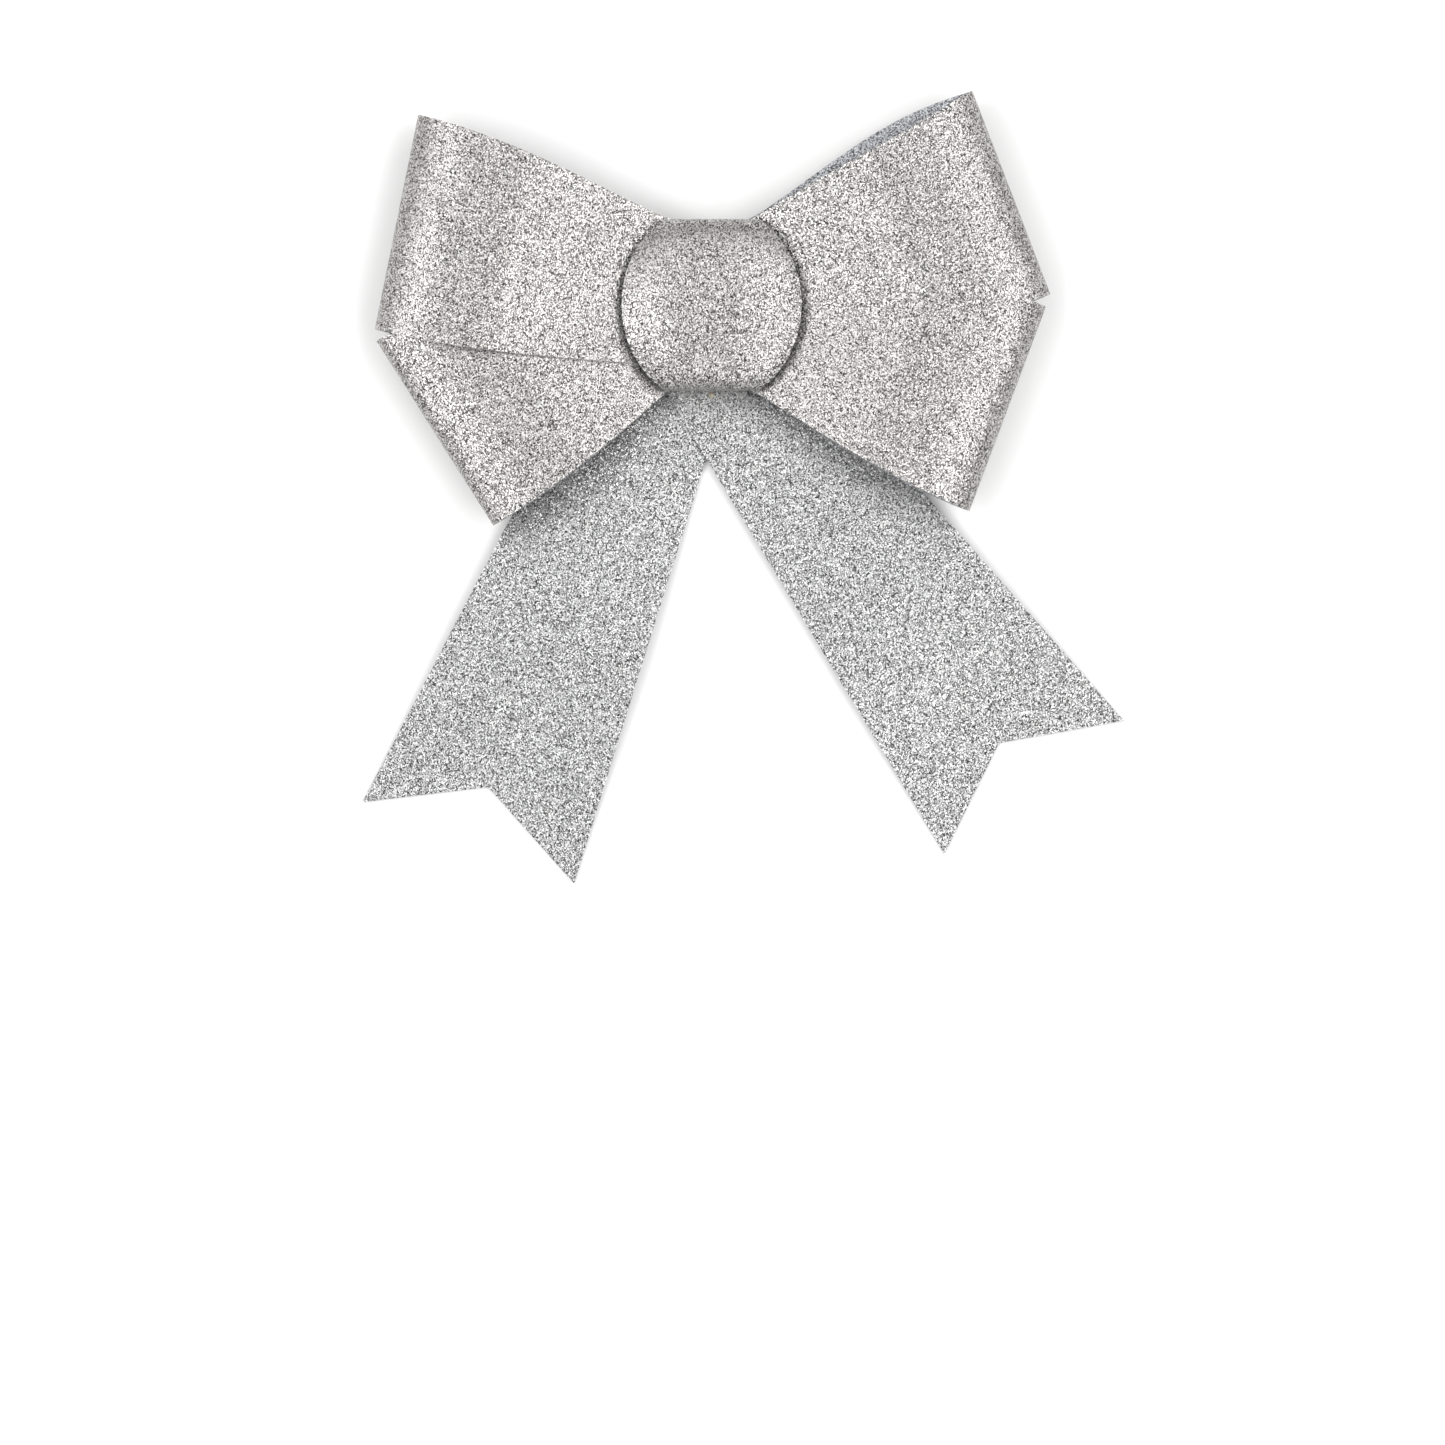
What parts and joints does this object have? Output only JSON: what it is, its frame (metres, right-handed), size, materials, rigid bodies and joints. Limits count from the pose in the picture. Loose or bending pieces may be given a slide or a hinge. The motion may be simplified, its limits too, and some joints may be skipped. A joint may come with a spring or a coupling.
{
  "type": "pre-made gift bow",
  "caption": "Glittered gift bow with crossed folded loops, a domed knot, swallow-tailed tails and a bendable twist tie at the back.",
  "frame": {"origin": "on the flat back of the bow, behind the middle of the knot", "axes": "+Z out of the front of the knot, +Y to the top of the bow, away from the tails, +X to the right as seen from the front"},
  "size_m": [0.1159, 0.12, 0.0127],
  "materials": {
    "glitter_sheet": "silver glitter",
    "tie_cover": "satin silver film",
    "tie_wire": "drawn wire",
    "hot_glue": "translucent amber"
  },
  "bodies": {
    "bow": {"outer_loop_strip": "glitter_sheet", "inner_loop_strip": "glitter_sheet", "knot_band": "glitter_sheet", "left_tail": "glitter_sheet", "right_tail": "glitter_sheet", "tie_middle_cover": "tie_cover", "tie_middle_wire": "tie_wire", "glue_strips_at_front": "hot_glue", "glue_inner_strip_middle": "hot_glue", "glue_inner_strip_lap": "hot_glue", "glue_strips_at_back": "hot_glue", "glue_outer_strip_lap": "hot_glue", "glue_band_lap": "hot_glue", "glue_tails_to_band": "hot_glue", "glue_tails_together": "hot_glue"},
    "tie_left_leg": {"tie_left_leg_cover": "tie_cover", "tie_left_leg_wire": "tie_wire"},
    "tie_right_leg": {"tie_right_leg_cover": "tie_cover", "tie_right_leg_wire": "tie_wire"}
  },
  "joints": [
    {"name": "left_leg_bend", "type": "hinge", "parent": "bow", "child": "tie_left_leg", "pos_m": [-0.008, 0.0079, 0.00225], "axis": [0, -1, 0], "range_deg": [0, 85]},
    {"name": "right_leg_bend", "type": "hinge", "parent": "bow", "child": "tie_right_leg", "pos_m": [0.008, 0.0079, 0.00225], "axis": [0, 1, 0], "range_deg": [0, 85]}
  ]
}
